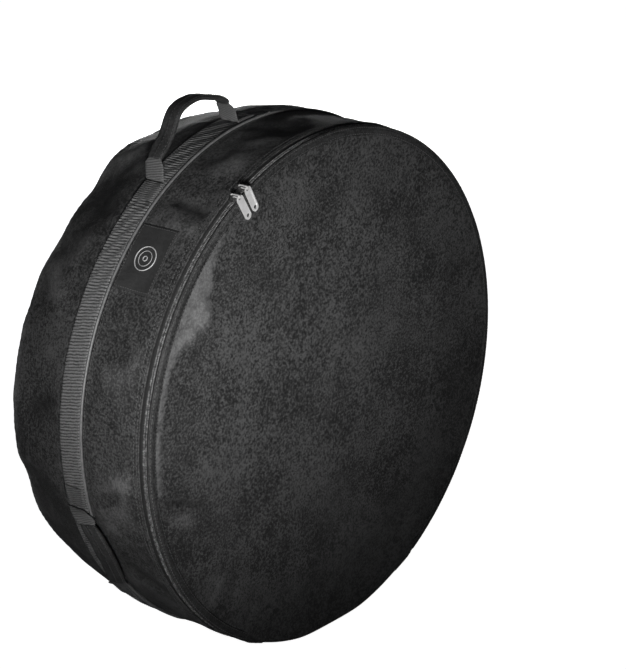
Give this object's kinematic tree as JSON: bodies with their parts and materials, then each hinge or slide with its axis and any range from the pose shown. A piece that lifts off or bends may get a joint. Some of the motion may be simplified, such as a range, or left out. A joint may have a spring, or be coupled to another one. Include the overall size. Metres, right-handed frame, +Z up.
{
  "type": "spare wheel storage cover",
  "caption": "Round zipped fabric cover for one car wheel, with a webbing band, carrying handles and a lid that folds down when its zip is run open.",
  "frame": {"origin": "on the floor under the middle of the bag, at the centre of the flat foot", "axes": "+Y along the bag's axis towards the closed rear, -Y towards the zipped front, +Z up"},
  "size_m": [0.6795, 0.245, 0.6936],
  "materials": {
    "wall_fabric": "matte",
    "panel_fabric": "matte",
    "webbing": "matte",
    "grip_fabric": "matte",
    "binding": "matte",
    "piping": "satin",
    "zip_tape": "matte",
    "zip_coil": "gloss",
    "slider_metal": "polished",
    "pull_metal": "satin",
    "label_patch": "matte"
  },
  "bodies": {
    "bag": {"rear_panel": "panel_fabric", "rear_wall": "wall_fabric", "front_wall": "wall_fabric", "front_fixed_panel": "panel_fabric", "centre_piping": "piping", "rear_binding": "binding", "wall_seam_tape": "binding", "wrap_strap": "webbing", "label_patch": "label_patch", "wall_zip_tape": "zip_tape", "wall_zip_coil": "zip_coil", "zip_end_stops": "slider_metal", "zip_end_tabs": "webbing", "upper_handle_pads": "webbing", "lower_handle_pads": "webbing"},
    "lid": {"lid_panel": "panel_fabric", "lid_edge_binding": "binding", "lid_zip_tape": "zip_tape", "lid_zip_coil": "zip_coil"},
    "slider_left": {"slider_left_body": "slider_metal", "slider_left_bail": "slider_metal"},
    "slider_right": {"slider_right_body": "slider_metal", "slider_right_bail": "slider_metal"},
    "pull_left": {"pull_left_ring": "slider_metal", "pull_left_tab": "pull_metal"},
    "pull_right": {"pull_right_ring": "slider_metal", "pull_right_tab": "pull_metal"},
    "upper_handle": {"upper_handle_webbing": "webbing", "upper_handle_grip": "grip_fabric"},
    "lower_handle": {"lower_handle_webbing": "webbing", "lower_handle_grip": "grip_fabric"}
  },
  "joints": [
    {"name": "lid_fold", "type": "hinge", "parent": "bag", "child": "lid", "pos_m": [0, -0.1225, 0.03821], "axis": [1, 0, 0], "range_deg": [0, 90]},
    {"name": "zip_left_travel", "type": "hinge", "parent": "lid", "child": "slider_left", "pos_m": [0, -0.1152, 0.324], "axis": [0, -1, 0], "range_deg": [0, 105]},
    {"name": "zip_right_travel", "type": "hinge", "parent": "lid", "child": "slider_right", "pos_m": [0, -0.1152, 0.324], "axis": [0, 1, 0], "range_deg": [0, 164]},
    {"name": "pull_left_swing", "type": "hinge", "parent": "slider_left", "child": "pull_left", "pos_m": [-0.17244, -0.1152, 0.61098], "axis": [-0.8572, 0, -0.515], "range_deg": [0, 170]},
    {"name": "pull_right_swing", "type": "hinge", "parent": "slider_right", "child": "pull_right", "pos_m": [-0.15873, -0.1152, 0.61878], "axis": [-0.8805, 0, -0.4741], "range_deg": [0, 170]},
    {"name": "upper_handle_swing", "type": "hinge", "parent": "bag", "child": "upper_handle", "pos_m": [-0.11207, 0.003, 0.63192], "axis": [0.9397, 0, 0.342], "range_deg": [-55, 55]},
    {"name": "lower_handle_swing", "type": "hinge", "parent": "bag", "child": "lower_handle", "pos_m": [-0.29196, 0.003, 0.17524], "axis": [-0.454, 0, 0.891], "range_deg": [-110, 0]}
  ]
}
